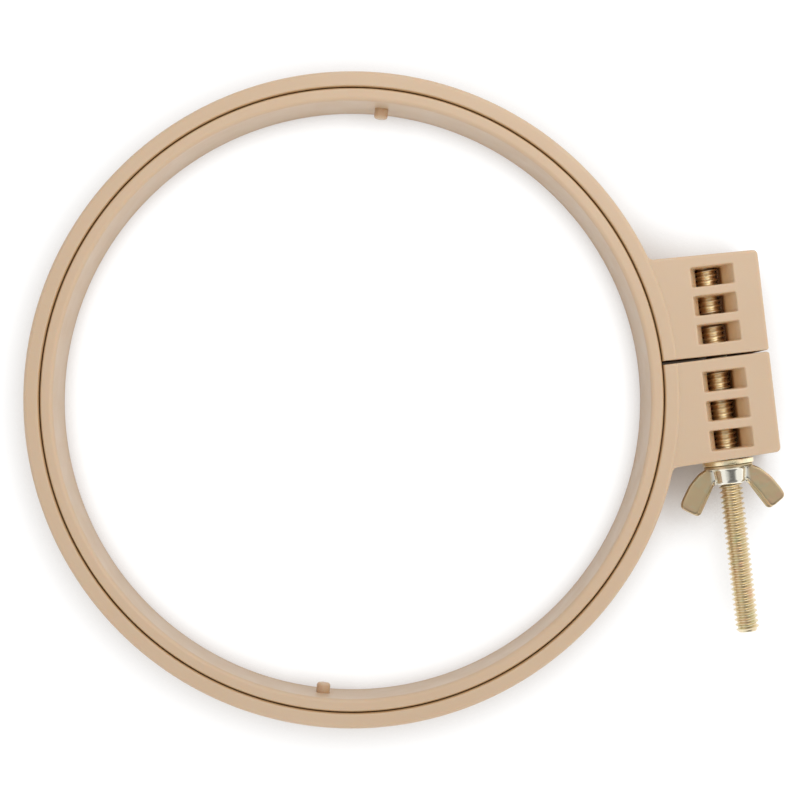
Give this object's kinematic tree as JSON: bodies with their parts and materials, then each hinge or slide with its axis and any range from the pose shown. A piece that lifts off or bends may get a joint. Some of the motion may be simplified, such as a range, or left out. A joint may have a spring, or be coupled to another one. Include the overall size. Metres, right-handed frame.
{
  "type": "embroidery hoop",
  "caption": "Round two-ring embroidery hoop: split outer ring with cored clamp lugs, long threaded screw, washer and wing nut.",
  "frame": {"origin": "centre of the rings on the plane that the hoop rests on", "axes": "+Z along the hoop's axis, +X out through the split between the lugs, -Y along the screw towards its free end"},
  "size_m": [0.1533, 0.1336, 0.0159],
  "materials": {
    "hoop_plastic": "moulded satin plastic in light tan",
    "zinc_thread": "rolled steel thread with yellow zinc plating",
    "zinc_plate": "bright steel with pale yellow zinc plating"
  },
  "bodies": {
    "outer_frame": {"outer_ring": "hoop_plastic", "clamp_screw": "zinc_thread"},
    "inner_frame": {"inner_ring": "hoop_plastic"},
    "washer_body": {"washer": "zinc_plate"},
    "nut_body": {"wing_nut": "zinc_plate"}
  },
  "joints": [
    {"name": "inner_lift", "type": "slide", "parent": "outer_frame", "child": "inner_frame", "axis": [0, 0, 1], "range_m": [0, 0.02]},
    {"name": "nut_travel", "type": "slide", "parent": "outer_frame", "child": "washer_body", "axis": [0, -1, 0], "range_m": [0, 0.02964]},
    {"name": "nut_spin", "type": "hinge", "parent": "washer_body", "child": "nut_body", "pos_m": [0.0757, -0.02228, 0.00795], "axis": [0, -1, 0], "range_deg": [0, 10080]}
  ],
  "couplings": [
    {"joint": "nut_travel", "follows": "nut_spin", "m_per_rad": 0.00016844}
  ]
}
